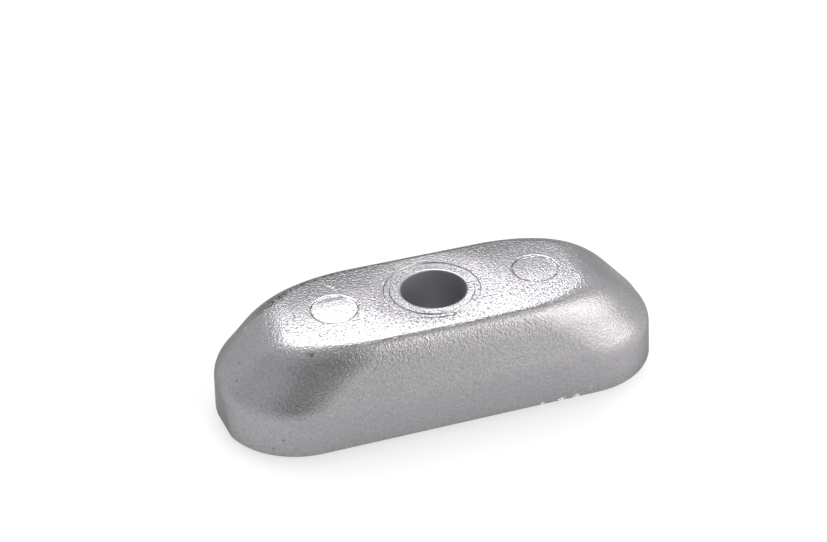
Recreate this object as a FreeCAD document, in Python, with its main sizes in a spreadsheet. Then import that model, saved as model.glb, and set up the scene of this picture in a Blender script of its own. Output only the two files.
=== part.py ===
import FreeCAD, Part
import math
import os
import Sketcher

# Sacrificial bar anode, one casting, millimetres.
# The foot lies on z = 0 with its middle at the origin, the long side runs along X and +Z points up.
# The side wall has a drafted band at the foot, a leaning flank above it and a level crown.
# Two soft roundings join them, and both grow from the long sides towards the ends.

DRIVING_SIZES = [
    ("foot_length", 58.2, "length over the ends at the foot"),
    ("foot_width", 23.2, "width over the long sides at the foot"),
    ("foot_end_run", 10.8, "length of the rounded part of an end at the foot"),
    ("foot_end_flat", 1.8, "straight stretch across an end at the foot"),
    ("foot_edge_break", 0.3, "small chamfer that breaks the lower edge"),
    ("band_height", 5.7, "height of the drafted band, up to its sharp corner"),
    ("band_draft", 2.8, "draft of the band, degrees"),
    ("body_height", 13.05, "height of the level crown"),
    ("crown_end_inset", 7.25, "how far the crown's sharp corner stands in from the foot at an end"),
    ("crown_side_inset", 2.25, "how far the crown's sharp corner stands in from the foot at a long side"),
    ("crown_end_run", 13.5, "length of the rounded part of an end at the crown"),
    ("crown_end_flat", 7.0, "straight stretch across an end at the crown"),
    ("shoulder_drop", 1.2, "how far the shoulder's rounding reaches down the band"),
    ("shoulder_rise", 0.9, "how far the shoulder's rounding reaches up the flank, as height"),
    ("crown_drop", 3.4, "how far the crown's rounding reaches down the flank, as height"),
    ("crown_end_ease", 3.5, "how far the crown's rounding reaches in over the top at an end"),
    ("crown_side_ease", 1.8, "how far the crown's rounding reaches in over the top at a long side"),
    ("bore_diameter", 8.5, "clearance hole for the fixing bolt"),
    ("bore_mouth_round", 0.15, "rounding of the bore's mouth in the crown"),
    ("bore_seat_chamfer", 0.3, "chamfer of the bore's mouth in the underside"),
    ("ring_land", 1.15, "plain metal between the bore's wall and the ring mark"),
    ("ring_width", 0.85, "width of the ring mark"),
    ("ring_shift", 0.2, "how far the ring mark stands off the bore's axis, towards the gate flat"),
    ("ring_depth", 0.15, "depth of the ring mark"),
    ("ring_wall_lean", 0.1, "how far each wall of the ring mark leans in over its depth"),
    ("pin_mark_diameter", 6.0, "ejector pin marks on the crown"),
    ("pin_mark_setback", 8.4, "distance of a pin mark's middle from the crown's sharp corner at its end"),
    ("pin_mark_shift", 0.33, "how far the pair of pin marks stands off the middle"),
    ("pin_mark_depth", 0.15, "depth of the pin marks"),
    ("gate_flat_depth", 0.28, "how far in from the end the gate was cut off flat"),
    ("gate_flat_turn", 7.0, "turn of that flat from square to the long side, degrees"),
]

# A conic blend with this middle weight is close to a circular rounding over the turns met here
SHOULDER_WEIGHT = 0.95
CROWN_WEIGHT = 0.86
# The middle weight that makes a conic with square legs a true quarter of an ellipse
QUARTER_WEIGHT = math.sqrt(0.5)
# How far a cutting tool stands proud of the face that it cuts
TOOL_OVERRUN = 1.0
SEW_TOLERANCE = 1e-5
LEVEL_TOLERANCE = 1e-4
# The most of the flank's height that the two roundings may take up together
FLANK_SHARE_LIMIT = 0.95


def fill_sheet(doc):
    """Puts each driving size in its own cell, under its own name."""
    sheet = doc.addObject("Spreadsheet::Sheet", "sizes")
    for row, (name, value, meaning) in enumerate(DRIVING_SIZES, start=1):
        sheet.set(f"A{row}", name)
        sheet.set(f"B{row}", str(value))
        sheet.set(f"C{row}", meaning)
        sheet.setAlias(f"B{row}", name)
    doc.recompute()
    return sheet


class Outline:
    """A level outline of the side wall: straight sides and ends, joined by quarters of an ellipse."""

    def __init__(self, half_length, half_width, run, half_flat, level):
        self.half_length = half_length
        self.half_width = half_width
        self.run = run
        self.half_flat = half_flat
        self.level = level

    def blend(self, other, share):
        """The outline that lies the given share of the way from this one to the other."""
        mixed = []
        for mine, theirs in zip(self.values(), other.values()):
            mixed.append(mine + (theirs - mine) * share)
        return Outline(*mixed)

    def values(self):
        return (self.half_length, self.half_width, self.run, self.half_flat, self.level)

    def stretches(self):
        """The control points of the eight stretches of the outline, seen from above, anticlockwise."""
        side_end = self.half_length - self.run
        quarter = [
            (self.half_length, self.half_flat),
            (self.half_length, self.half_width),
            (side_end, self.half_width),
        ]
        result = []
        for mirror_x, mirror_y in ((1, 1), (-1, 1), (-1, -1), (1, -1)):
            corner = [FreeCAD.Vector(mirror_x * x, mirror_y * y, self.level) for x, y in quarter]
            if mirror_x != mirror_y:
                corner.reverse()
            result.append(corner)
        straight = []
        for index, corner in enumerate(result):
            following = result[(index + 1) % len(result)]
            straight.append([corner[-1], following[0]])
        ordered = []
        for corner, line in zip(result, straight):
            ordered.append(corner)
            ordered.append(line)
        return ordered


def patch(controls, blend_weight):
    """One patch of the wall, between two outlines, or three where the middle one only steers it."""
    surface = Part.BezierSurface()
    surface.increase(len(controls[0]) - 1, len(controls) - 1)
    for across, column in enumerate(controls, start=1):
        for along, point in enumerate(column, start=1):
            surface.setPole(along, across, point)
            weight = 1.0
            if len(column) == 3 and along == 2:
                weight *= QUARTER_WEIGHT
            if len(controls) == 3 and across == 2:
                weight *= blend_weight
            surface.setWeight(along, across, weight)
    return surface.toShape()


def wall_between(outlines, blend_weight=1.0):
    """The eight patches of one level stretch of the wall."""
    faces = []
    for controls in zip(*[outline.stretches() for outline in outlines]):
        faces.append(patch(controls, blend_weight))
    return faces


def level_face(outline):
    """The plane face that an outline bounds."""
    edges = []
    for points in outline.stretches():
        curve = Part.BezierCurve()
        curve.setPoles(points)
        if len(points) == 3:
            curve.setWeight(2, QUARTER_WEIGHT)
        edges.append(curve.toShape())
    return Part.Face(Part.Wire(edges))


def casting_blank(size):
    """The casting before its bore and marks, as one closed skin."""
    lean = math.tan(math.radians(size("band_draft")))

    def band_at(level):
        inset = lean * level
        return Outline(
            size("foot_length") / 2 - inset,
            size("foot_width") / 2 - inset,
            size("foot_end_run"),
            size("foot_end_flat") / 2,
            level,
        )

    foot = band_at(0.0)
    band_top = band_at(size("band_height") - size("shoulder_drop"))
    shoulder = band_at(size("band_height"))
    crown = Outline(
        size("foot_length") / 2 - size("crown_end_inset"),
        size("foot_width") / 2 - size("crown_side_inset"),
        size("crown_end_run"),
        size("crown_end_flat") / 2,
        size("body_height"),
    )
    flank_height = size("body_height") - size("band_height")
    rounded_height = size("shoulder_rise") + size("crown_drop")
    limit = min(1.0, FLANK_SHARE_LIMIT * flank_height / rounded_height)
    flank_start = shoulder.blend(crown, limit * size("shoulder_rise") / flank_height)
    flank_end = shoulder.blend(crown, 1 - limit * size("crown_drop") / flank_height)
    top = Outline(
        crown.half_length - size("crown_end_ease"),
        crown.half_width - size("crown_side_ease"),
        crown.run - size("crown_end_ease"),
        crown.half_flat,
        crown.level,
    )
    faces = [level_face(foot), level_face(top)]
    faces += wall_between([foot, band_top])
    faces += wall_between([band_top, shoulder, flank_start], SHOULDER_WEIGHT)
    faces += wall_between([flank_start, flank_end])
    faces += wall_between([flank_end, crown, top], CROWN_WEIGHT)
    skin = Part.makeShell(faces)
    skin.sewShape(SEW_TOLERANCE)
    solid = Part.makeSolid(skin)
    if solid.Volume < 0:
        solid.reverse()
    return solid


def origin_feature(body, role):
    """One of the body's own planes or axes."""
    for feature in body.Origin.OriginFeatures:
        if feature.Role == role:
            return feature
    raise ValueError(role)


def new_sketch(body, name, plane):
    """An empty sketch on one of the body's own planes."""
    sketch = body.newObject("Sketcher::SketchObject", name)
    sketch.AttachmentSupport = [(origin_feature(body, plane), "")]
    sketch.MapMode = "FlatFace"
    return sketch


def add_circle(sketch, name, diameter, centre_x=None):
    """A circle on the sketch's X axis, with its diameter and place bound to the sheet."""
    circle = sketch.addGeometry(Part.Circle(FreeCAD.Vector(0, 0, 0), FreeCAD.Vector(0, 0, 1), 1.0), False)
    index = sketch.addConstraint(Sketcher.Constraint("Diameter", circle, 2.0))
    sketch.renameConstraint(index, f"{name}_diameter")
    sketch.setExpression(f"Constraints.{name}_diameter", diameter)
    if centre_x is None:
        sketch.addConstraint(Sketcher.Constraint("Coincident", circle, 3, -1, 1))
        return
    sketch.addConstraint(Sketcher.Constraint("PointOnObject", circle, 3, -1))
    index = sketch.addConstraint(Sketcher.Constraint("DistanceX", -1, 1, circle, 3, 1.0))
    sketch.renameConstraint(index, f"{name}_place")
    sketch.setExpression(f"Constraints.{name}_place", centre_x)


def add_polygon(sketch, corners):
    """A closed outline whose corners are bound to the sheet, each given as (name, x, y, sketch x, sketch y)."""
    points = [FreeCAD.Vector(x, y, 0) for _, x, y, _, _ in corners]
    lines = []
    for start, end in zip(points, points[1:] + points[:1]):
        lines.append(sketch.addGeometry(Part.LineSegment(start, end), False))
    for line, following in zip(lines, lines[1:] + lines[:1]):
        sketch.addConstraint(Sketcher.Constraint("Coincident", line, 2, following, 1))
    for line, (name, x, y, bound_x, bound_y) in zip(lines, corners):
        for kind, axis, value, bound in (("DistanceX", "x", x, bound_x), ("DistanceY", "y", y, bound_y)):
            index = sketch.addConstraint(Sketcher.Constraint(kind, -1, 1, line, 1, value))
            sketch.renameConstraint(index, f"{name}_{axis}")
            sketch.setExpression(f"Constraints.{name}_{axis}", bound)


def cut_bore(body):
    """The bolt hole, straight through from the foot."""
    sketch = new_sketch(body, "bore_sketch", "XY_Plane")
    add_circle(sketch, "bore", "sizes.bore_diameter")
    bore = body.newObject("PartDesign::Pocket", "bore")
    bore.Profile = sketch
    bore.Type = "ThroughAll"
    bore.Reversed = True
    return bore


def cut_ring_mark(body, size):
    """The shallow ring round the bore, left by the edge of the sleeve that pushed the casting out."""
    sketch = new_sketch(body, "ring_mark_sketch", "XZ_Plane")
    sketch.AttachmentOffset = FreeCAD.Placement(
        FreeCAD.Vector(-size("ring_shift"), 0, 0), FreeCAD.Rotation()
    )
    sketch.setExpression("AttachmentOffset.Base.x", "-sizes.ring_shift")
    inner = size("bore_diameter") / 2 + size("ring_land")
    outer = inner + size("ring_width")
    top = size("body_height")
    floor = top - size("ring_depth")
    lean = size("ring_wall_lean")
    inner_bound = "sizes.bore_diameter / 2 + sizes.ring_land"
    outer_bound = f"{inner_bound} + sizes.ring_width"
    top_bound = "sizes.body_height"
    floor_bound = "sizes.body_height - sizes.ring_depth"
    above_bound = f"sizes.body_height + {TOOL_OVERRUN}"
    corners = [
        ("inner_above", inner, top + TOOL_OVERRUN, inner_bound, above_bound),
        ("inner_edge", inner, top, inner_bound, top_bound),
        ("inner_floor", inner + lean, floor, f"{inner_bound} + sizes.ring_wall_lean", floor_bound),
        ("outer_floor", outer - lean, floor, f"{outer_bound} - sizes.ring_wall_lean", floor_bound),
        ("outer_edge", outer, top, outer_bound, top_bound),
        ("outer_above", outer, top + TOOL_OVERRUN, outer_bound, above_bound),
    ]
    add_polygon(sketch, corners)
    ring = body.newObject("PartDesign::Groove", "ring_mark")
    ring.Profile = sketch
    ring.ReferenceAxis = (sketch, ["V_Axis"])
    ring.Angle = 360.0
    return ring


def cut_pin_marks(body):
    """The two round marks where ejector pins pushed on the crown."""
    sketch = new_sketch(body, "pin_marks_sketch", "XY_Plane")
    sketch.setExpression("AttachmentOffset.Base.z", "sizes.body_height")
    from_middle = "(sizes.foot_length / 2 - sizes.crown_end_inset - sizes.pin_mark_setback)"
    for name, side in (("left_pin", -1), ("right_pin", 1)):
        place = f"{side} * {from_middle} + sizes.pin_mark_shift"
        add_circle(sketch, name, "sizes.pin_mark_diameter", place)
    marks = body.newObject("PartDesign::Pocket", "pin_marks")
    marks.Profile = sketch
    marks.Type = "Length"
    marks.setExpression("Length", "sizes.pin_mark_depth")
    return marks


def cut_gate_flat(body, size):
    """The flat on the left end where the gate was cut off the casting."""
    sketch = new_sketch(body, "gate_flat_sketch", "XY_Plane")
    sketch.AttachmentOffset = FreeCAD.Placement(
        FreeCAD.Vector(0, 0, 0), FreeCAD.Rotation(FreeCAD.Vector(0, 0, 1), size("gate_flat_turn"))
    )
    sketch.setExpression("AttachmentOffset.Rotation.Angle", "sizes.gate_flat_turn")
    near = size("gate_flat_depth") - size("foot_length") / 2
    far = -size("foot_length")
    half = size("foot_width")
    near_bound = "sizes.gate_flat_depth - sizes.foot_length / 2"
    far_bound = "-sizes.foot_length"
    corners = [
        ("near_front", near, -half, near_bound, "-sizes.foot_width"),
        ("near_back", near, half, near_bound, "sizes.foot_width"),
        ("far_back", far, half, far_bound, "sizes.foot_width"),
        ("far_front", far, -half, far_bound, "-sizes.foot_width"),
    ]
    add_polygon(sketch, corners)
    flat = body.newObject("PartDesign::Pocket", "gate_flat")
    flat.Profile = sketch
    flat.Type = "ThroughAll"
    flat.Reversed = True
    return flat


def level_edges(shape, level, accept):
    """The names of a shape's edges that lie at one level and that the given test accepts."""
    names = []
    for index, edge in enumerate(shape.Edges, start=1):
        box = edge.BoundBox
        is_level = abs(box.ZMin - level) < LEVEL_TOLERANCE and abs(box.ZMax - level) < LEVEL_TOLERANCE
        if is_level and accept(edge):
            names.append(f"Edge{index}")
    return names


def round_edges(body, name, base, edges, radius):
    """A rounding of the given edges, with its radius bound to the sheet."""
    rounding = body.newObject("PartDesign::Fillet", name)
    rounding.Base = (base, edges)
    rounding.setExpression("Radius", radius)
    return rounding


def chamfer_edges(body, name, base, edges, width):
    """An even chamfer of the given edges, with its width bound to the sheet."""
    chamfer = body.newObject("PartDesign::Chamfer", name)
    chamfer.Base = (base, edges)
    chamfer.setExpression("Size", width)
    return chamfer


def settle(body, feature):
    """Recomputes the body after a cut or a rounding and makes sure that it took metal away."""
    before = feature.BaseFeature.Shape.Volume
    body.Document.recompute()
    if not body.Shape.Volume < before:
        raise RuntimeError(f"{feature.Name} takes nothing away")


def check_document(doc):
    """Stops if any object of the document failed or any shape is missing or broken."""
    for item in doc.Objects:
        if "Invalid" in item.State or "Error" in item.State:
            raise RuntimeError(f"{item.Name} failed")
    for item in doc.Objects:
        if item.isDerivedFrom("PartDesign::Body") or item.TypeId == "Part::Feature":
            if item.Shape.isNull() or not item.Shape.isValid():
                raise RuntimeError(f"{item.Name} has no valid shape")


def main():
    doc = FreeCAD.newDocument("bar_anode")
    sheet = fill_sheet(doc)

    def size(name):
        return float(sheet.get(name))

    blank = doc.addObject("Part::Feature", "casting_blank")
    blank.Shape = casting_blank(size)
    blank.Placement = FreeCAD.Placement()

    body = doc.addObject("PartDesign::Body", "anode_casting")
    body.Label = "anode_casting"
    body.BaseFeature = blank
    body.Placement = FreeCAD.Placement()
    doc.recompute()

    settle(body, cut_bore(body))
    settle(body, cut_ring_mark(body, size))
    settle(body, cut_pin_marks(body))
    flat = cut_gate_flat(body, size)
    settle(body, flat)

    def is_bore_edge(edge):
        box = edge.BoundBox
        return abs(box.Center.x) < LEVEL_TOLERANCE and box.XLength < size("bore_diameter") + LEVEL_TOLERANCE

    def is_foot_edge(edge):
        return edge.CenterOfMass.Length > size("bore_diameter")

    crown_mouth = level_edges(flat.Shape, size("body_height"), is_bore_edge)
    mouth = round_edges(body, "bore_mouth", flat, crown_mouth, "sizes.bore_mouth_round")
    settle(body, mouth)
    seat_mouth = level_edges(mouth.Shape, 0.0, is_bore_edge)
    seat = chamfer_edges(body, "bore_seat", mouth, seat_mouth, "sizes.bore_seat_chamfer")
    settle(body, seat)
    foot = level_edges(seat.Shape, 0.0, is_foot_edge)
    settle(body, chamfer_edges(body, "foot_edge", seat, foot, "sizes.foot_edge_break"))

    check_document(doc)
    os.makedirs("parts", exist_ok=True)
    body.Shape.exportStep(f"parts/{body.Label}.step")
    print(body.Label, "volume", round(body.Shape.Volume, 2), "faces", len(body.Shape.Faces))


main()
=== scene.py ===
"""Looks of a small bolt-on bar anode, one rough casting on a pale studio floor."""

import logging
import math
from dataclasses import dataclass, field
from enum import Enum
from typing import Callable

import bpy
from mathutils import Matrix, Vector


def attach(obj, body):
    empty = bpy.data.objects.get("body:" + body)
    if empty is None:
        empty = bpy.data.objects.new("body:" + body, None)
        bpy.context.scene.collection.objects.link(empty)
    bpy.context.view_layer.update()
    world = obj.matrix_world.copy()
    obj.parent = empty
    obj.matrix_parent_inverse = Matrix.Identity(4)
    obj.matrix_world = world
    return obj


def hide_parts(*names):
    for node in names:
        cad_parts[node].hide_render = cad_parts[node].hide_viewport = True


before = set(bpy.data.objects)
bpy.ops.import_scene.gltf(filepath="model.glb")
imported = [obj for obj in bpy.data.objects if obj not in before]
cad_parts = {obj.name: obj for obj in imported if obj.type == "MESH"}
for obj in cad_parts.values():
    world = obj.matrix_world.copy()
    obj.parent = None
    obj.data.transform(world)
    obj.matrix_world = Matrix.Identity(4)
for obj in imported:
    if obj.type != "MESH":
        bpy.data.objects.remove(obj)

LOG = logging.getLogger("bar_anode")
MM = 0.001
PHOTO_WIDTH = 827
WHITE = "#FFFFFF"
SRGB_CUT, SRGB_SLOPE, SRGB_OFFSET, SRGB_POWER = 0.04045, 12.92, 0.055, 2.4
HALF = 0.5
QUARTER_TURN = 90
ROUND_PROFILE = 0.5
NEAR_MM = 1e-3
NEAR_RADIUS_MM = 1e-2


class Level(Enum):
    """Which end of the casting's height a ring of edges lies at."""

    SEAT = "seat"
    CROWN = "crown"


def linear(code: str) -> tuple[float, float, float, float]:
    """Turns an sRGB hex colour into the linear one that a shader takes.

    Args:
        code: Six hex digits with a leading hash sign.

    Returns:
        Red, green, blue and a full alpha.
    """
    plain = []
    for place in (1, 3, 5):
        share = int(code[place:place + 2], 16) / 255
        if share <= SRGB_CUT:
            plain.append(share / SRGB_SLOPE)
        else:
            plain.append(((share + SRGB_OFFSET) / (1 + SRGB_OFFSET)) ** SRGB_POWER)
    return (plain[0], plain[1], plain[2], 1.0)


def deselect_all() -> None:
    """Clears the selection, which loading the frame leaves full."""
    if bpy.context.object and bpy.context.object.mode != "OBJECT":
        bpy.ops.object.mode_set(mode="OBJECT")
    bpy.ops.object.select_all(action="DESELECT")


def activate(piece: bpy.types.Object) -> None:
    """Makes one object the only selected and the active one.

    Args:
        piece: The object.
    """
    deselect_all()
    piece.select_set(True)
    bpy.context.view_layer.objects.active = piece


def pick_edges(piece: bpy.types.Object, accept: Callable[[Vector, Vector], bool]) -> int:
    """Selects the edges whose two ends a test accepts, and leaves the mesh in edit mode.

    Args:
        piece: The mesh object.
        accept: Takes the two end points of an edge and says whether it is wanted.

    Returns:
        How many edges were selected.
    """
    activate(piece)
    bpy.ops.object.mode_set(mode="EDIT")
    bpy.ops.mesh.select_mode(type="EDGE")
    bpy.ops.mesh.select_all(action="DESELECT")
    bpy.ops.object.mode_set(mode="OBJECT")
    points = piece.data.vertices
    count = 0
    for edge in piece.data.edges:
        first, second = (points[index].co for index in edge.vertices)
        if accept(first, second):
            edge.select = True
            count += 1
    bpy.ops.object.mode_set(mode="EDIT")
    return count


@dataclass(frozen=True)
class Outline:
    """A level outline of the side wall, in mm: straight sides, and ends with elliptic corners."""

    half_length: float
    half_width: float
    run: float
    half_flat: float
    level: float

    def mixed(self, others: list["Outline"], shares: list[float]) -> "Outline":
        """Blends this outline with others.

        Args:
            others: The other outlines.
            shares: This outline's share and then each other's, adding up to one.

        Returns:
            The blended outline.
        """
        rows = [self] + others
        names = ("half_length", "half_width", "run", "half_flat", "level")
        values = [sum(share * getattr(row, name) for row, share in zip(rows, shares)) for name in names]
        return Outline(*values)

    def towards(self, other: "Outline", share: float) -> "Outline":
        """Goes a share of the way to another outline."""
        return self.mixed([other], [1 - share, share])


@dataclass(frozen=True)
class Pit:
    """A small blemish sunk into the surface: the middle and half sizes of its tool, in mm."""

    place: tuple[float, float, float]
    half: tuple[float, float, float]
    turn: float = 0.0


@dataclass
class AnodeCasting:
    """The one casting: its wall, level crown, bore, ejector marks and trimmed gate, in mm."""

    # Sizes of the construction model
    foot_length: float = 58.2
    foot_width: float = 23.2
    foot_end_run: float = 10.8
    foot_end_flat: float = 1.8
    foot_edge_break: float = 0.3
    band_height: float = 5.7
    band_draft: float = 2.8
    body_height: float = 13.05
    crown_end_inset: float = 7.25
    crown_side_inset: float = 2.25
    crown_end_run: float = 13.5
    crown_end_flat: float = 7.0
    shoulder_drop: float = 1.2
    shoulder_rise: float = 0.9
    shoulder_weight: float = 0.95
    crown_drop: float = 3.4
    crown_end_ease: float = 3.5
    crown_side_ease: float = 1.8
    crown_weight: float = 0.86
    bore_diameter: float = 8.5
    bore_mouth_round: float = 0.15
    bore_seat_chamfer: float = 0.3
    ring_land: float = 1.15
    ring_width: float = 0.85
    ring_shift: float = 0.2
    ring_depth: float = 0.15
    ring_wall_lean: float = 0.1
    pin_mark_diameter: float = 6.0
    pin_mark_setback: float = 8.4
    pin_mark_shift: float = 0.33
    pin_mark_depth: float = 0.15
    pin_wall_lean: float = 0.03
    gate_flat_depth: float = 0.28
    gate_flat_turn: float = 7.0
    # Fineness of the mesh, and how far a cutting tool reaches past the surface
    corner_steps: int = 40
    shoulder_steps: int = 8
    crown_steps: int = 16
    round_steps: int = 160
    mouth_steps: int = 5
    foot_edge_steps: int = 2
    pit_subdivisions: int = 2
    overshoot: float = 0.2
    bore_overshoot: float = 1.0
    groove_overshoot: float = 0.3
    sliver: float = 0.001
    smooth_angle: float = 28.0
    normal_weight: int = 60
    # Details too fine for the construction model; the hook's pits count their height from the crown
    pin_slants: tuple[float, float] = (2.0, 0.7)
    pin_lip: float = 0.26
    pin_lip_depth: float = 0.085
    pin_rim_width: float = 0.12
    pin_rim_depth: float = 0.26
    pin_rim_share: float = 0.3
    burr_reach: tuple[float, float] = (-118.0, -81.0)
    burr_count: int = 12
    burr_outset: float = 0.08
    burr_half: tuple[float, float, float] = (0.21, 0.15, 0.3)
    hook_pits: tuple[Pit, ...] = (
        Pit((0.78, -5.75, -0.12), (0.13, 0.34, 0.2), 24.0),
        Pit((1.55, -6.05, 0.0), (0.18, 0.12, 0.18), 10.0),
    )
    foot_chips: tuple[tuple[float, float], ...] = (
        (10.1, 0.09), (10.5, 0.14), (11.3, 0.07), (12.8, 0.16), (13.3, 0.20), (13.8, 0.11), (14.4, 0.08),
        (14.9, 0.17), (15.3, 0.13), (15.7, 0.10),
    )
    chip_inset: float = 0.05
    chip_level: float = 0.28
    chip_shape: tuple[float, float, float] = (1.6, 0.8, 0.8)
    chip_turn: float = 3.0
    scratch_place: float = 18.1
    scratch_levels: tuple[float, ...] = (1.0, 1.9, 2.8, 3.6)
    scratch_half: tuple[float, float, float] = (0.08, 0.04, 0.75)
    node: str = "anode_casting"

    def band_inset(self, level: float) -> float:
        """How far the drafted band has drawn in from the foot's outline at one height."""
        return math.tan(math.radians(self.band_draft)) * level

    def band_at(self, level: float) -> Outline:
        """The drafted band's outline at one height.

        Args:
            level: The height above the seat.

        Returns:
            The outline there.
        """
        inset = self.band_inset(level)
        return Outline(
            self.foot_length / 2 - inset,
            self.foot_width / 2 - inset,
            self.foot_end_run,
            self.foot_end_flat / 2,
            level,
        )

    def conic(self, start: Outline, corner: Outline, end: Outline, weight: float,
              steps: int) -> list[Outline]:
        """Rounds the corner between two stretches of the wall.

        Args:
            start: Outline where the rounding begins.
            corner: Outline of the sharp corner, which only steers the rounding.
            end: Outline where the rounding ends.
            weight: How strongly the corner pulls.
            steps: How many outlines to make after the start.

        Returns:
            The outlines from just after the start to the end.
        """
        result = []
        for step in range(1, steps + 1):
            along = step / steps
            shares = [(1 - along) ** 2, 2 * along * (1 - along) * weight, along ** 2]
            total = sum(shares)
            result.append(start.mixed([corner, end], [share / total for share in shares]))
        return result

    def outlines(self) -> list[Outline]:
        """Lists the outlines of the wall.

        Returns:
            The outlines from the foot to the level crown.
        """
        foot = self.band_at(0.0)
        band_top = self.band_at(self.band_height - self.shoulder_drop)
        shoulder = self.band_at(self.band_height)
        crown = Outline(
            self.foot_length / 2 - self.crown_end_inset,
            self.foot_width / 2 - self.crown_side_inset,
            self.crown_end_run,
            self.crown_end_flat / 2,
            self.body_height,
        )
        flank_height = self.body_height - self.band_height
        flank_start = shoulder.towards(crown, self.shoulder_rise / flank_height)
        flank_end = shoulder.towards(crown, 1 - self.crown_drop / flank_height)
        top = Outline(
            crown.half_length - self.crown_end_ease,
            crown.half_width - self.crown_side_ease,
            crown.run - self.crown_end_ease,
            crown.half_flat,
            crown.level,
        )
        rings = [foot, foot.towards(band_top, HALF), band_top]
        rings += self.conic(band_top, shoulder, flank_start, self.shoulder_weight, self.shoulder_steps)
        rings += [flank_start.towards(flank_end, HALF), flank_end]
        rings += self.conic(flank_end, crown, top, self.crown_weight, self.crown_steps)
        return rings

    def add_ring(self, ring: Outline) -> None:
        """Adds one outline to the mesh in edit mode: a square, its corners rounded, then drawn out.

        Args:
            ring: The outline.
        """
        rise = ring.half_width - ring.half_flat
        square_half_width = ring.half_width * ring.run / rise
        bpy.ops.mesh.select_all(action="DESELECT")
        bpy.ops.mesh.primitive_plane_add(size=1.0, location=(0, 0, 0))
        bpy.ops.transform.resize(value=(2 * ring.half_length, 2 * square_half_width, 1))
        bpy.ops.mesh.bevel(
            offset_type="OFFSET", offset=ring.run, segments=self.corner_steps, profile=ROUND_PROFILE,
            affect="VERTICES", clamp_overlap=False,
        )
        bpy.ops.transform.resize(value=(1, rise / ring.run, 1))
        bpy.ops.transform.translate(value=(0, 0, ring.level))
        bpy.ops.mesh.delete(type="ONLY_FACE")

    def build_wall(self) -> bpy.types.Object:
        """Makes the blank: outlines bridged one to the next, with a level cap at each end.

        Returns:
            The closed blank.
        """
        deselect_all()
        bpy.ops.mesh.primitive_plane_add(size=1.0, location=(0, 0, 0))
        blank = bpy.context.object
        blank.name = "casting"
        bpy.ops.object.mode_set(mode="EDIT")
        bpy.ops.mesh.delete(type="VERT")
        bpy.ops.mesh.select_mode(type="VERT")
        for ring in self.outlines():
            self.add_ring(ring)
        bpy.ops.mesh.select_all(action="SELECT")
        bpy.ops.mesh.bridge_edge_loops(type="SINGLE")
        bpy.ops.object.mode_set(mode="OBJECT")
        for level in (0.0, self.body_height):
            pick_edges(blank, lambda a, b: max(abs(a.z - level), abs(b.z - level)) < NEAR_MM)
            bpy.ops.mesh.edge_face_add()
        bpy.ops.mesh.select_all(action="SELECT")
        bpy.ops.mesh.normals_make_consistent(inside=False)
        bpy.ops.object.mode_set(mode="OBJECT")
        return blank

    def add_plug(self, name: str, centre_x: float, low: tuple[float, float],
                 high: tuple[float, float], slant: float = 0.0) -> bpy.types.Object:
        """A round cutting plug that may widen upwards.

        Args:
            name: What the plug cuts.
            centre_x: Where its axis stands along the casting.
            low: Height and radius of its lower end.
            high: Height and radius of its upper end.
            slant: Degrees that the plug leans about X, which sinks its front side deeper.

        Returns:
            The plug.
        """
        deselect_all()
        bpy.ops.mesh.primitive_cone_add(
            vertices=self.round_steps, radius1=low[1], radius2=high[1], depth=high[0] - low[0],
            location=(centre_x, 0, (low[0] + high[0]) / 2), rotation=(math.radians(slant), 0, 0),
        )
        plug = bpy.context.object
        plug.name = name
        return plug

    def cut(self, piece: bpy.types.Object, cutter: bpy.types.Object) -> None:
        """Takes a cutter's volume out of a piece and removes the cutter.

        Args:
            piece: The piece that stays.
            cutter: The tool.
        """
        activate(piece)
        modifier = piece.modifiers.new(cutter.name, "BOOLEAN")
        modifier.operation = "DIFFERENCE"
        modifier.solver = "EXACT"
        modifier.object = cutter
        bpy.ops.object.modifier_apply(modifier=modifier.name)
        bpy.data.objects.remove(cutter)

    def leaning(self, radius: float, lean: float, depth: float, reach: tuple[float, float],
                name: str, centre_x: float = 0.0, slant: float = 0.0) -> bpy.types.Object:
        """A plug whose wall passes through a mark's edge on the crown and leans over its depth.

        Args:
            radius: The mark's radius on the crown.
            lean: How far the wall leans over the depth, inwards on the way down if positive.
            depth: The mark's depth.
            reach: How far the plug goes below and above the crown.
            name: What the plug cuts.
            centre_x: Where its axis stands along the casting.
            slant: Degrees that the plug leans about X.

        Returns:
            The plug.
        """
        slope = lean / depth
        low = (self.body_height - reach[0], radius - slope * reach[0])
        high = (self.body_height + reach[1], radius + slope * reach[1])
        return self.add_plug(name, centre_x, low, high, slant)

    def cut_bore(self, blank: bpy.types.Object) -> None:
        """Cuts the hole for the fixing bolt.

        Args:
            blank: The casting.
        """
        radius = self.bore_diameter / 2
        low = (-self.bore_overshoot, radius)
        high = (self.body_height + self.bore_overshoot, radius)
        self.cut(blank, self.add_plug("bore", 0.0, low, high))

    def cut_ring_mark(self, blank: bpy.types.Object) -> None:
        """Sinks the shallow ring that the ejector sleeve left round the bore.

        Args:
            blank: The casting.
        """
        inner = self.bore_diameter / 2 + self.ring_land
        outer = inner + self.ring_width
        sleeve = self.leaning(outer, self.ring_wall_lean, self.ring_depth,
                              (self.ring_depth, self.overshoot), "ring_mark", -self.ring_shift)
        core = self.leaning(inner, -self.ring_wall_lean, self.ring_depth,
                            (2 * self.overshoot, 2 * self.overshoot), "ring_core", -self.ring_shift)
        self.cut(sleeve, core)
        self.cut(blank, sleeve)

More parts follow.
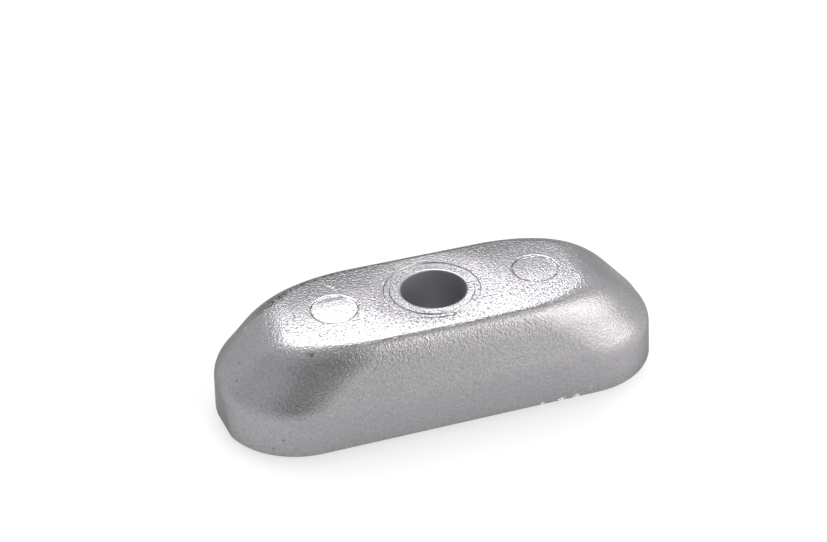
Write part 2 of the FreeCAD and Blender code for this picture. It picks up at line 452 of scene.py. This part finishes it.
    def cut_pin_marks(self, blank: bpy.types.Object) -> None:
        """Sinks the two marks of the ejector pins, each with its lip and the fine groove of its rim.

        Args:
            blank: The casting.
        """
        place = self.foot_length / 2 - self.crown_end_inset - self.pin_mark_setback
        radius = self.pin_mark_diameter / 2
        for name, side, slant in zip(("left_pin_mark", "right_pin_mark"), (-1, 1), self.pin_slants):
            middle = side * place + self.pin_mark_shift
            pin = self.leaning(radius, self.pin_wall_lean, self.pin_mark_depth,
                               (self.pin_mark_depth, self.overshoot), name, middle, slant)
            self.cut(blank, pin)
            lip = self.leaning(radius + self.pin_lip, self.pin_lip, self.pin_lip_depth,
                               (self.pin_lip_depth, self.overshoot), name + "_lip", middle)
            self.cut(blank, lip)
            rim = self.score(name + "_rim", middle, radius - self.pin_rim_share * self.pin_rim_width,
                             self.pin_rim_width, self.pin_rim_depth)
            self.cut(blank, rim)

    def score(self, name: str, centre_x: float, radius: float, width: float,
              depth: float) -> bpy.types.Object:
        """A thin tube that cuts a round groove into the crown.

        Args:
            name: What the tube cuts.
            centre_x: Where its axis stands along the casting.
            radius: Radius of the groove's middle line.
            width: The groove's width.
            depth: How far it goes below the crown.

        Returns:
            The tube.
        """
        outer, inner = radius + width / 2, radius - width / 2
        bottom, top = self.body_height - depth, self.body_height + self.groove_overshoot
        tube = self.add_plug(name, centre_x, (bottom, outer), (top, outer))
        core = self.add_plug(name + "_core", centre_x, (bottom - self.overshoot, inner),
                             (top + self.overshoot, inner))
        self.cut(tube, core)
        return tube

    def burrs(self) -> list[Pit]:
        """Lists the uneven notches that make the front of the ring mark ragged.

        Returns:
            The notches, from left to right.
        """

        def waver(step: int, pace: float, reach: float,
                  wave: Callable[[float], float] = math.sin) -> float:
            """A notch's uneven offset, which is the same each run and at most its reach."""
            return reach * wave(pace * step)

        edge = self.bore_diameter / 2 + self.ring_land + self.ring_width
        first, last = self.burr_reach
        length, width, depth = self.burr_half
        pits = []
        for step in range(self.burr_count):
            share = step / (self.burr_count - 1)
            angle = math.radians(first + (last - first) * share)
            turn = math.degrees(angle) + QUARTER_TURN + waver(step, pace=2.3, reach=14)
            radius = edge + self.burr_outset + waver(step, pace=7.3, reach=0.05)
            half = (
                length + waver(step, pace=3.1, reach=0.08),
                width + waver(step, pace=5.7, reach=0.05, wave=math.cos),
                depth,
            )
            place = (radius * math.cos(angle) - self.ring_shift, radius * math.sin(angle),
                     self.body_height)
            pits.append(Pit(place, half, turn))
        return pits

    def blemishes(self) -> list[Pit]:
        """Lists all the pits: the ragged ring mark, chips on the foot edge and a scratch.

        Returns:
            The pits to sink.
        """
        pits = self.burrs()
        for hook in self.hook_pits:
            x, y, rise = hook.place
            pits.append(Pit((x, y, self.body_height + rise), hook.half, hook.turn))
        front = -self.foot_width / 2
        for x, size in self.foot_chips:
            half = tuple(share * size for share in self.chip_shape)
            pits.append(Pit((x, front + self.chip_inset, self.chip_level), half, self.chip_turn))
        for level in self.scratch_levels:
            place = (self.scratch_place, front + self.band_inset(level), level)
            pits.append(Pit(place, self.scratch_half))
        return pits

    def sink_pits(self, blank: bpy.types.Object) -> None:
        """Sinks all the small blemishes.

        Args:
            blank: The casting.
        """
        pits = self.blemishes()
        for pit in pits:
            deselect_all()
            bpy.ops.mesh.primitive_ico_sphere_add(
                subdivisions=self.pit_subdivisions, radius=1.0, location=pit.place,
                rotation=(0, 0, math.radians(pit.turn)), scale=pit.half,
            )
            tool = bpy.context.object
            tool.name = "pit"
            self.cut(blank, tool)
        LOG.info("blemishes: %d pits", len(pits))

    def cut_gate_flat(self, blank: bpy.types.Object) -> None:
        """Trims the left end where the gate was cut off.

        Args:
            blank: The casting.
        """
        turn = math.radians(self.gate_flat_turn)
        block = self.foot_length
        reach = self.foot_length / 2 - self.gate_flat_depth + block / 2
        deselect_all()
        bpy.ops.mesh.primitive_cube_add(
            size=block, rotation=(0, 0, turn),
            location=(-reach * math.cos(turn), -reach * math.sin(turn), 0),
        )
        trimmer = bpy.context.object
        trimmer.name = "gate_trim"
        self.cut(blank, trimmer)

    def bevel_picked(self, width: float, steps: int) -> None:
        """Breaks the selected edges in one step, or rounds them in more, and leaves edit mode."""
        bpy.ops.mesh.bevel(offset=width, segments=steps, profile=ROUND_PROFILE, affect="EDGES",
                           clamp_overlap=False)
        bpy.ops.object.mode_set(mode="OBJECT")

    def round_mouth(self, blank: bpy.types.Object, level: Level, width: float, steps: int) -> None:
        """Rounds or breaks the bore's mouth at one end.

        Args:
            blank: The casting.
            level: Which mouth.
            width: Radius of the rounding, or width of the chamfer.
            steps: One for a chamfer, more for a rounding.
        """
        height = self.body_height if level is Level.CROWN else 0.0
        radius = self.bore_diameter / 2

        def on_mouth(first: Vector, second: Vector) -> bool:
            """Whether an edge lies on the mouth's circle."""
            return all(
                abs(point.z - height) <= NEAR_MM and abs(point.xy.length - radius) <= NEAR_RADIUS_MM
                for point in (first, second)
            )

        count = pick_edges(blank, on_mouth)
        self.bevel_picked(width, steps)
        LOG.info("bore mouth at the %s: %d edges", level.value, count)

    def break_foot_edge(self, blank: bpy.types.Object) -> None:
        """Breaks the casting's lower edge with a small rounded chamfer.

        Args:
            blank: The casting.
        """

        def on_foot(first: Vector, second: Vector) -> bool:
            """Whether an edge lies on the foot's outline, well outside the bore."""
            level = max(abs(first.z), abs(second.z)) < NEAR_MM
            return level and min(first.xy.length, second.xy.length) > self.bore_diameter

        count = pick_edges(blank, on_foot)
        self.bevel_picked(self.foot_edge_break, self.foot_edge_steps)
        LOG.info("foot edge: %d edges", count)

    def settle(self, blank: bpy.types.Object) -> None:
        """Removes slivers, turns the mesh to metres and gives it smooth faces with crisp edges.

        Args:
            blank: The casting.
        """
        activate(blank)
        bpy.ops.object.mode_set(mode="EDIT")
        bpy.ops.mesh.select_all(action="SELECT")
        bpy.ops.mesh.dissolve_degenerate(threshold=self.sliver)
        bpy.ops.object.mode_set(mode="OBJECT")
        blank.data.transform(Matrix.Scale(MM, 4))
        bpy.ops.object.shade_smooth_by_angle(angle=math.radians(self.smooth_angle))
        modifier = blank.modifiers.new("even_normals", "WEIGHTED_NORMAL")
        modifier.keep_sharp = True
        modifier.weight = self.normal_weight
        bpy.ops.object.modifier_apply(modifier=modifier.name)

    def build(self) -> bpy.types.Object:
        """Models the whole casting.

        Returns:
            The casting's object, at the origin, in metres.
        """
        blank = self.build_wall()
        self.cut_gate_flat(blank)
        self.cut_bore(blank)
        self.cut_ring_mark(blank)
        self.cut_pin_marks(blank)
        self.round_mouth(blank, Level.CROWN, self.bore_mouth_round, self.mouth_steps)
        self.round_mouth(blank, Level.SEAT, self.bore_seat_chamfer, 1)
        self.break_foot_edge(blank)
        self.sink_pits(blank)
        self.settle(blank)
        return blank


Tree = bpy.types.NodeTree
Signal = bpy.types.Node | tuple[bpy.types.Node, str]
SMOOTH = {"interpolation_type": "SMOOTHSTEP"}
PLUS = {"operation": "ADD"}
MINUS = {"operation": "SUBTRACT"}
TIMES = {"operation": "MULTIPLY"}
TIMES_PLUS = {"operation": "MULTIPLY_ADD"}


def add_node(tree: Tree, kind: str, settings: dict | None = None,
             inputs: dict | None = None) -> bpy.types.Node:
    """Adds one node with its settings, values and incoming links.

    Args:
        tree: The node tree.
        kind: The node's type, without the ShaderNode that it starts with.
        settings: Properties of the node itself.
        inputs: For each input's name or number a value, or a signal that feeds it: a node, whose first
            output is taken, or a node and the name of its output.

    Returns:
        The new node.
    """
    node = tree.nodes.new("ShaderNode" + kind)
    for name, value in (settings or {}).items():
        setattr(node, name, value)
    for name, source in (inputs or {}).items():
        origin, output = source, 0
        if isinstance(source, tuple) and isinstance(source[0], bpy.types.Node):
            origin, output = source
        if isinstance(origin, bpy.types.Node):
            tree.links.new(origin.outputs[output], node.inputs[name])
        else:
            node.inputs[name].default_value = source
    return node


def blend(tree: Tree, share: Signal, first: Signal, second: Signal) -> Signal:
    """Goes from the first signal to the second as the share goes from zero to one."""
    change = add_node(tree, "Math", MINUS, {0: second, 1: first})
    return add_node(tree, "Math", TIMES_PLUS, {0: share, 1: change, 2: first})


def fresh_material(name: str) -> bpy.types.Material:
    """Makes a material with an empty node tree.

    Args:
        name: The material's name.

    Returns:
        The material.
    """
    material = bpy.data.materials.new(name)
    material.use_nodes = True
    material.node_tree.nodes.clear()
    return material


@dataclass(frozen=True)
class StainAndShade:
    """A round spot, in mm, where the metal is lighter or darker by a factor; most are stains, and some
    are painted shade.
    """

    place: tuple[float, float, float]
    radius: float
    factor: float


STAINS_AND_SHADE = (
    # Dark specks on the left end and its band
    StainAndShade((-18.0, -7.3, 12.2), 0.33, 0.5),
    StainAndShade((-18.45, -7.15, 12.25), 0.22, 0.6),
    StainAndShade((-23.02, -10.35, 2.58), 0.2, 0.5),
    StainAndShade((-24.24, -9.74, 1.18), 0.18, 0.5),
    StainAndShade((-25.91, -1.19, 8.77), 0.2, 0.6),
    StainAndShade((-26.83, -3.15, 7.62), 0.2, 0.6),
    # Light flecks on the flanks, behind the left pin mark and at the scratch
    StainAndShade((-16.99, -11.28, 5.55), 0.13, 1.5),
    StainAndShade((-24.0, 3.06, 10.64), 0.2, 1.7),
    StainAndShade((-12.6, 5.25, 13.05), 0.2, 2.2),
    StainAndShade((-12.3, 5.0, 13.05), 0.2, 2.2),
    StainAndShade((-12.0, 4.6, 13.05), 0.18, 2.0),
    StainAndShade((17.06, -11.54, 1.23), 0.25, 1.2),
    # Painted shade in the bottoms of the notches in the ring mark's front
    StainAndShade((-2.85, -5.5, 13.0), 0.15, 0.6),
    StainAndShade((-2.2, -5.85, 13.0), 0.17, 0.4),
    StainAndShade((-1.8, -6.0, 13.0), 0.15, 0.45),
    StainAndShade((-1.3, -6.2, 13.0), 0.19, 0.3),
    StainAndShade((-1.0, -6.3, 13.0), 0.15, 0.35),
    StainAndShade((-0.6, -6.3, 13.0), 0.16, 0.35),
    StainAndShade((-0.25, -6.38, 13.0), 0.18, 0.3),
    StainAndShade((0.15, -6.38, 13.0), 0.14, 0.4),
    StainAndShade((0.55, -6.4, 13.0), 0.2, 0.35),
    StainAndShade((0.75, -5.9, 13.0), 0.16, 0.4),
    StainAndShade((1.42, -6.2, 13.0), 0.17, 0.45),
    # Bare bright metal in the chips of the foot edge
    StainAndShade((10.5, -11.6, 0.2), 0.3, 2.2),
    StainAndShade((13.2, -11.6, 0.1), 0.5, 2.3),
    StainAndShade((15.2, -11.6, 0.1), 0.5, 2.3),
)


@dataclass(frozen=True)
class Spot:
    """Signals that say where on the casting a shaded point lies, in mm, and which noise it has."""

    in_mm: Signal
    x: Signal
    y_square: Signal
    r_square: Signal
    on_crown: Signal
    in_bore: Signal
    pebble: Signal
    grit: Signal
    patches: Signal


@dataclass(frozen=True)
class CastAlloy:
    """Aluminium anode alloy, cast in a metal mould and shot-blasted.

    The eye sees a dull silver grey with a fine pebbled grain of dents, which glitters where it mirrors
    a lamp and stays soft and even where it mirrors the room. The crown has the sharper dents. The
    flanks, which the mould's draft has wiped, are softer and rougher. The dents are coloured darker than
    the skin, partly as the grain's own tone and partly as painted shade in their hollows.
    """

    # Colours of the metal, and how strongly the grain tints it; the darker colour of the dents is partly
    # painted shade
    name: str = "blasted_cast_alloy"
    bright: str = "#A8A6A9"
    dent_tone_and_shade: str = "#868487"
    # The bore's colour is lighter and cooler than the skin: painted light that lifts the shade inside the
    # bore
    bore_painted_light: str = "#ADADB2"
    edge_tint: str = "#B0B0B0"
    tone_gain: float = 0.75
    tone_base: float = 0.19
    # Roughness, with patches that differ a little
    roughness: float = 0.15
    flank_roughness: float = 0.33
    bore_roughness: float = 0.42
    patch_mm: float = 4.0
    patch_detail: float = 2.0
    patch_gain: float = 0.1
    # Grain of dents and grit, in real sizes
    dent_mm: float = 0.31
    dent_detail: float = 2.5
    dent_range: tuple[float, float] = (-0.24, 0.0)
    grit_mm: float = 0.17
    grit_detail: float = 0.0
    grit_share: float = 0.5
    relief_mm: float = 0.045
    flank_gain: float = 1.2
    flank_mottle: float = 2.0
    flank_level: float = 0.75
    flank_to_crown: tuple[float, float] = (0.80, 0.985)
    # Form too gentle to show but in reflections: the crown's bow and the dish round the bore
    crown_bow: float = 0.0064
    bore_dish_mm: float = 0.35
    bore_dish_reach_mm: float = 7.4
    # Calmer skin in the bore and on the pin marks' floors
    bore_edge_mm: tuple[float, float] = (4.5, 4.3)
    bore_calm: float = 0.9
    pin_place_mm: float = 13.45
    pin_shift_mm: float = 0.33
    pin_edge_mm: tuple[float, float] = (2.95, 2.75)
    pin_calm: float = 0.55
    pin_tone: float = 1.0
    # A spot is at full strength up to the first share of its radius, and gone at the second
    dab_fade: tuple[float, float] = (0.4, 1.3)

    def noises(self, tree: Tree, in_mm: Signal) -> list[Signal]:
        """Adds the noises of the skin, each centred on zero.

        Args:
            tree: The node tree.
            in_mm: The shaded point.

        Returns:
            The noise of the dents, of the grit and of the patches.
        """
        result = []
        for size_mm, detail in ((self.dent_mm, self.dent_detail), (self.grit_mm, self.grit_detail),
                                (self.patch_mm, self.patch_detail)):
            noise = add_node(tree, "TexNoise",
                             inputs={"Vector": in_mm, "Scale": 1 / size_mm, "Detail": detail})
            result.append(add_node(tree, "Math", MINUS, {0: noise, 1: HALF}))
        return result

    def spot(self, tree: Tree) -> Spot:
        """Works out where the shaded point lies.

        Args:
            tree: The node tree.

        Returns:
            The point's signals.
        """
        place = add_node(tree, "TexCoord")
        in_mm = add_node(tree, "Mapping",
                         inputs={"Vector": (place, "Object"), "Scale": (1 / MM, 1 / MM, 1 / MM)})
        parts = add_node(tree, "SeparateXYZ", inputs={"Vector": in_mm})
        facing = add_node(tree, "SeparateXYZ", inputs={"Vector": (place, "Normal")})
        x, y, up = (parts, "X"), (parts, "Y"), (facing, "Z")
        x_square = add_node(tree, "Math", TIMES, {0: x, 1: x})
        y_square = add_node(tree, "Math", TIMES, {0: y, 1: y})
        r_square = add_node(tree, "Math", PLUS, {0: x_square, 1: y_square})
        flank, crown = self.flank_to_crown
        on_crown = add_node(tree, "MapRange", SMOOTH, {"Value": up, "From Min": flank, "From Max": crown})
        outside, inside = self.bore_edge_mm
        in_bore = add_node(tree, "MapRange", SMOOTH,
                           {"Value": r_square, "From Min": outside ** 2, "From Max": inside ** 2})
        return Spot(in_mm, x, y_square, r_square, on_crown, in_bore, *self.noises(tree, in_mm))

    def in_pin_mark(self, tree: Tree, spot: Spot) -> Signal:
        """Tells the floors of the pin marks from the rest.

        Args:
            tree: The node tree.
            spot: The shaded point.

        Returns:
            One on the floor of either mark, and zero outside.
        """
        from_middle = add_node(tree, "Math", MINUS, {0: spot.x, 1: self.pin_shift_mm})
        either_side = add_node(tree, "Math", {"operation": "ABSOLUTE"}, {0: from_middle})
        from_pin = add_node(tree, "Math", MINUS, {0: either_side, 1: self.pin_place_mm})
        square = add_node(tree, "Math", TIMES_PLUS, {0: from_pin, 1: from_pin, 2: spot.y_square})
        outside, inside = self.pin_edge_mm
        return add_node(tree, "MapRange", SMOOTH,
                        {"Value": square, "From Min": outside ** 2, "From Max": inside ** 2})

    def grain(self, tree: Tree, spot: Spot) -> tuple[Signal, Signal]:
        """Dents of the blasted skin, coloured darker in their hollows, partly as painted shade.

        Args:
            tree: The node tree.
            spot: The shaded point.

        Returns:
            The dents' relief, and their tone, which is low in the hollows.
        """
        low, high = self.dent_range
        dents = add_node(tree, "MapRange", SMOOTH,
                         {"Value": spot.pebble, "From Min": low, "From Max": high})
        # The tone follows the same noise as the relief, so the dents' hollows are coloured darker:
        # painted shade on top of the grain's own tone
        soft, mottle = (
            add_node(tree, "Math", TIMES_PLUS, {0: spot.pebble, 1: gain, 2: self.flank_level})
            for gain in (self.flank_gain, self.flank_mottle)
        )
        relief = blend(tree, spot.on_crown, soft, dents)
        tone = blend(tree, spot.on_crown, mottle, dents)
        relief = add_node(tree, "Math", TIMES_PLUS, {0: spot.grit, 1: self.grit_share, 2: relief})
        calm = add_node(tree, "Math", TIMES, {0: self.in_pin_mark(tree, spot), 1: -self.pin_calm})
        plain = add_node(tree, "Math", TIMES_PLUS, {0: spot.in_bore, 1: -self.bore_calm, 2: 1.0})
        plain = add_node(tree, "Math", PLUS, {0: plain, 1: calm})
        relief = add_node(tree, "Math", TIMES, {0: relief, 1: plain})
        off_tone = add_node(tree, "Math", MINUS, {0: tone, 1: self.pin_tone})
        return relief, add_node(tree, "Math", TIMES_PLUS, {0: calm, 1: off_tone, 2: tone})

    def bumped(self, tree: Tree, spot: Spot, relief: Signal) -> Signal:
        """Bends the surface by the grain, the crown's bow and the dish round the bore.

        Args:
            tree: The node tree.
            spot: The shaded point.
            relief: The dents' relief.

        Returns:
            The bent normal.
        """
        r_fourth = add_node(tree, "Math", TIMES, {0: spot.r_square, 1: spot.r_square})
        falling = add_node(tree, "Math", TIMES, {0: r_fourth, 1: -1 / self.bore_dish_reach_mm ** 4})
        dish = add_node(tree, "Math", {"operation": "EXPONENT"}, {0: falling})
        bow = add_node(tree, "Math", TIMES, {0: spot.y_square, 1: -self.crown_bow})
        height = add_node(tree, "Math", TIMES_PLUS, {0: relief, 1: self.relief_mm, 2: bow})
        height = add_node(tree, "Math", TIMES_PLUS, {0: dish, 1: -self.bore_dish_mm, 2: height})
        return add_node(tree, "Bump", inputs={"Height": height, "Strength": 1.0, "Distance": MM})

    def tinted(self, tree: Tree, spot: Spot, tone: Signal) -> Signal:
        """Colours the metal, with its stains, the painted shade in the ring mark's notches and the
        painted light in the bore.

        Args:
            tree: The node tree.
            spot: The shaded point.
            tone: Zero in the dents, whose darker colour is partly painted shade, and one on the bright
                skin.

        Returns:
            The colour.
        """
        share = add_node(tree, "Math", TIMES_PLUS, {0: tone, 1: self.tone_gain, 2: self.tone_base})
        # The darker dent colour mixed in here is partly painted shade in the dents' hollows
        skin = add_node(tree, "Mix", {"data_type": "RGBA"},
                        {"Factor": share, "A": linear(self.dent_tone_and_shade), "B": linear(self.bright)})
        # Inside the bore the colour turns lighter and cooler, as painted light against the bore's shade
        both = add_node(tree, "Mix", {"data_type": "RGBA"},
                        {"Factor": spot.in_bore, "A": (skin, "Result"), "B": linear(self.bore_painted_light)})
        tint = (both, "Result")
        full, faded = self.dab_fade
        # Each spot scales the colour: stains, and painted shade in the ring mark's notches
        for tint_dab in STAINS_AND_SHADE:
            away = add_node(tree, "VectorMath", {"operation": "DISTANCE"},
                            {0: spot.in_mm, 1: tint_dab.place})
            factor = add_node(tree, "MapRange", SMOOTH, {
                "Value": (away, "Value"), "From Min": full * tint_dab.radius,
                "From Max": faded * tint_dab.radius, "To Min": tint_dab.factor, "To Max": 1.0,
            })
            tint = add_node(tree, "VectorMath", {"operation": "SCALE"}, {0: tint, "Scale": factor})
        return tint

    def roughened(self, tree: Tree, spot: Spot) -> Signal:
        """Sets how rough the skin is.

        Args:
            tree: The node tree.
            spot: The shaded point.

        Returns:
            The roughness.
        """
        crown_change = self.roughness - self.flank_roughness
        bore_change = self.bore_roughness - self.roughness
        rough = add_node(tree, "Math", TIMES_PLUS,
                         {0: spot.on_crown, 1: crown_change, 2: self.flank_roughness})
        rough = add_node(tree, "Math", TIMES_PLUS, {0: spot.patches, 1: self.patch_gain, 2: rough})
        return add_node(tree, "Math", TIMES_PLUS, {0: spot.in_bore, 1: bore_change, 2: rough})

    def build(self) -> bpy.types.Material:
        """Makes the material.

        Returns:
            The finished material.
        """
        material = fresh_material(self.name)
        tree = material.node_tree
        spot = self.spot(tree)
        relief, tone = self.grain(tree, spot)
        shader = add_node(tree, "BsdfPrincipled", inputs={
            "Base Color": self.tinted(tree, spot, tone),
            "Metallic": 1.0,
            "Roughness": self.roughened(tree, spot),
            "Specular Tint": linear(self.edge_tint),
            "Normal": self.bumped(tree, spot, relief),
        })
        add_node(tree, "OutputMaterial", inputs={"Surface": shader})
        return material


@dataclass(frozen=True)
class Panel:
    """Where a flat studio panel hangs, in degrees and metres; bearing 0 is +Y and 90 is +X."""

    name: str
    bearing: float
    elevation: float
    distance: float
    width: float
    height: float

    def direction(self) -> Vector:
        """Points from the casting to the panel.

        Returns:
            The direction, of length one.
        """
        side, rise = math.radians(self.bearing), math.radians(self.elevation)
        level = math.cos(rise)
        return Vector((math.sin(side) * level, math.cos(side) * level, math.sin(rise)))

    def hang(self, piece: bpy.types.Object) -> None:
        """Hangs a lamp or a card there, facing the casting."""
        piece.location = self.direction() * self.distance
        piece.rotation_euler = (-self.direction()).to_track_quat("-Z", "Y").to_euler()


@dataclass(frozen=True)
class Lamp(Panel):
    """One soft lamp."""

    radiance: float
    colour: str = WHITE

    def build(self) -> bpy.types.Object:
        """Makes the lamp and hangs it.

        Returns:
            The lamp.
        """
        data = bpy.data.lights.new(self.name, "AREA")
        data.shape = "RECTANGLE"
        data.size = self.width
        data.size_y = self.height
        data.color = linear(self.colour)[:3]
        data.energy = self.radiance * math.pi * self.width * self.height
        lamp = bpy.data.objects.new(self.name, data)
        bpy.context.scene.collection.objects.link(lamp)
        self.hang(lamp)
        return lamp


@dataclass(frozen=True)
class Card(Panel):
    """One oval dark card with a soft edge, seen only in the metal, which gives its surface shape."""

    glow: float
    feather: float = 0.7

    def paint(self) -> bpy.types.Material:
        """Makes the card's dim glow, which fades out towards its edge.

        Returns:
            The material.
        """
        material = fresh_material(self.name)
        tree = material.node_tree
        glow = add_node(tree, "Emission", inputs={"Strength": self.glow})
        clear = add_node(tree, "BsdfTransparent")
        place = add_node(tree, "TexCoord")
        away = add_node(tree, "VectorMath", {"operation": "LENGTH"}, {0: (place, "Object")})
        share = add_node(tree, "MapRange", SMOOTH, {
            "Value": (away, "Value"), "From Min": HALF, "From Max": HALF * (1 - self.feather),
        })
        both = add_node(tree, "MixShader", inputs={0: share, 1: clear, 2: glow})
        add_node(tree, "OutputMaterial", inputs={"Surface": both})
        return material

    def build(self) -> bpy.types.Object:
        """Makes the card and hangs it.

        Returns:
            The card.
        """
        deselect_all()
        bpy.ops.mesh.primitive_plane_add(size=1.0, location=(0, 0, 0))
        card = bpy.context.object
        card.name = self.name
        card.scale = (self.width, self.height, 1.0)
        self.hang(card)
        card.visible_camera = False
        card.visible_shadow = False
        card.visible_diffuse = False
        card.data.materials.append(self.paint())
        return card


@dataclass
class Studio:
    """The pale floor, white surroundings, soft lamps, dark cards and camera."""

    world_light: float = 0.7
    world_seen: float = 1.0
    floor_half: float = 0.4
    floor_colour: str = "#A5A5A5"
    floor_glow: float = 0.52
    floor_spill_glow: float = 0.32
    floor_spill_mm: tuple[float, float] = (12.0, 48.0)
    camera_mm: tuple[float, float, float] = (-52.33, -165.383, 130.885)
    target_mm: tuple[float, float, float] = (1.89, 14.881, 6.0)
    roll: float = -1.948
    lens_pixels: float = 1649.3
    sensor_width: float = 36.0
    clip_start: float = 0.005
    # Name, bearing, elevation, distance, width and height, then a lamp's radiance or a card's glow
    panels: list[Lamp | Card] = field(default_factory=lambda: [
        Lamp("back_softbox", 0, 63, 0.55, 0.39, 0.45, 4.6),
        Lamp("right_softbox", 122, 22, 0.55, 0.24, 0.34, 2.45, "#FFFDF5"),
        Lamp("front_right_softbox", 150, 16, 0.55, 0.25, 0.44, 1.5, "#FFFDF5"),
        Lamp("front_strip", 147, 41, 0.53, 0.25, 0.13, 3.0, "#FFFDF5"),
        Card("camera_side_card", -168, 24, 0.5, 0.86, 1.15, 0.31),
        Card("overhead_card", 138, 72, 0.5, 0.42, 0.28, 0.15),
        Card("left_card", -90, 36, 0.53, 1.3, 0.9, 0.72),
        Card("back_card", 1, 12, 0.6, 0.77, 0.42, 0.2),
    ])

    def background_share(self, tree: Tree) -> Signal:
        """Tells the rays that should see the plain white background from the rest.

        Args:
            tree: The node tree.

        Returns:
            One for the rays of the camera, of mirroring and of clear bodies, and zero for the rest.
        """
        rays = add_node(tree, "LightPath")
        share = (rays, "Is Camera Ray")
        for other in ("Is Glossy Ray", "Is Transmission Ray"):
            share = add_node(tree, "Math", {"operation": "ADD", "use_clamp": True},
                             {0: share, 1: (rays, other)})
        return share

    def build_world(self) -> None:
        """White surroundings that light the floor softly."""
        world = bpy.data.worlds.new("studio")
        bpy.context.scene.world = world
        world.use_nodes = True
        tree = world.node_tree
        tree.nodes.clear()
        strength = add_node(tree, "MapRange", inputs={
            "Value": self.background_share(tree), "To Min": self.world_light, "To Max": self.world_seen,
        })
        glow = add_node(tree, "Background", inputs={"Color": linear(WHITE), "Strength": strength})
        add_node(tree, "OutputWorld", inputs={"Surface": glow})

    def paint_floor(self) -> bpy.types.Material:
        """Makes the matt pale floor, whose glow is a little stronger towards the right.

        Returns:
            The material.
        """
        material = fresh_material("pale_floor")
        tree = material.node_tree
        matt = add_node(tree, "BsdfDiffuse", inputs={"Color": linear(self.floor_colour)})
        place = add_node(tree, "TexCoord")
        parts = add_node(tree, "SeparateXYZ", inputs={"Vector": (place, "Object")})
        start, end = (edge * MM for edge in self.floor_spill_mm)
        spill = add_node(tree, "MapRange", SMOOTH, {
            "Value": (parts, "X"), "From Min": start, "From Max": end,
            "To Min": self.floor_glow, "To Max": self.floor_glow + self.floor_spill_glow,
        })
        lift = add_node(tree, "Math", TIMES, {0: self.background_share(tree), 1: spill})
        glow = add_node(tree, "Emission", inputs={"Strength": lift})
        both = add_node(tree, "AddShader", inputs={0: matt, 1: glow})
        add_node(tree, "OutputMaterial", inputs={"Surface": both})
        return material

    def build_floor(self) -> bpy.types.Object:
        """Lays the pale floor under the casting.

        Returns:
            The floor.
        """
        deselect_all()
        bpy.ops.mesh.primitive_plane_add(size=2 * self.floor_half, location=(0, 0, 0))
        floor = bpy.context.object
        floor.name = "floor"
        floor.data.materials.append(self.paint_floor())
        return floor

    def build_camera(self) -> bpy.types.Object:
        """Sets the camera at the photograph's viewing angle.

        Returns:
            The camera.
        """
        data = bpy.data.cameras.new("camera")
        data.sensor_width = self.sensor_width
        data.lens = self.lens_pixels * data.sensor_width / PHOTO_WIDTH
        data.clip_start = self.clip_start
        camera = bpy.data.objects.new("camera", data)
        bpy.context.scene.collection.objects.link(camera)
        place = Vector(self.camera_mm) * MM
        forward = Vector(self.target_mm) * MM - place
        level = forward.to_track_quat("-Z", "Y").to_matrix()
        turned = level @ Matrix.Rotation(math.radians(self.roll), 3, "Z")
        camera.matrix_world = Matrix.Translation(place) @ turned.to_4x4()
        bpy.context.scene.camera = camera
        return camera

    def build(self) -> None:
        """Sets the whole studio up."""
        bpy.context.scene.view_settings.view_transform = "Standard"
        self.build_world()
        self.build_floor()
        for panel in self.panels:
            panel.build()
            LOG.info("studio: %s", panel.name)
        self.build_camera()


def main() -> None:
    """Builds the casting and the studio."""
    logging.basicConfig(level=logging.INFO, format="%(name)s: %(message)s")
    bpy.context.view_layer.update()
    casting = AnodeCasting()
    piece = casting.build()
    piece.data.materials.clear()
    piece.data.materials.append(CastAlloy().build())
    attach(piece, "root")
    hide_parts(casting.node)
    LOG.info("casting: %d faces", len(piece.data.polygons))
    Studio().build()


if __name__ == "__main__":
    main()
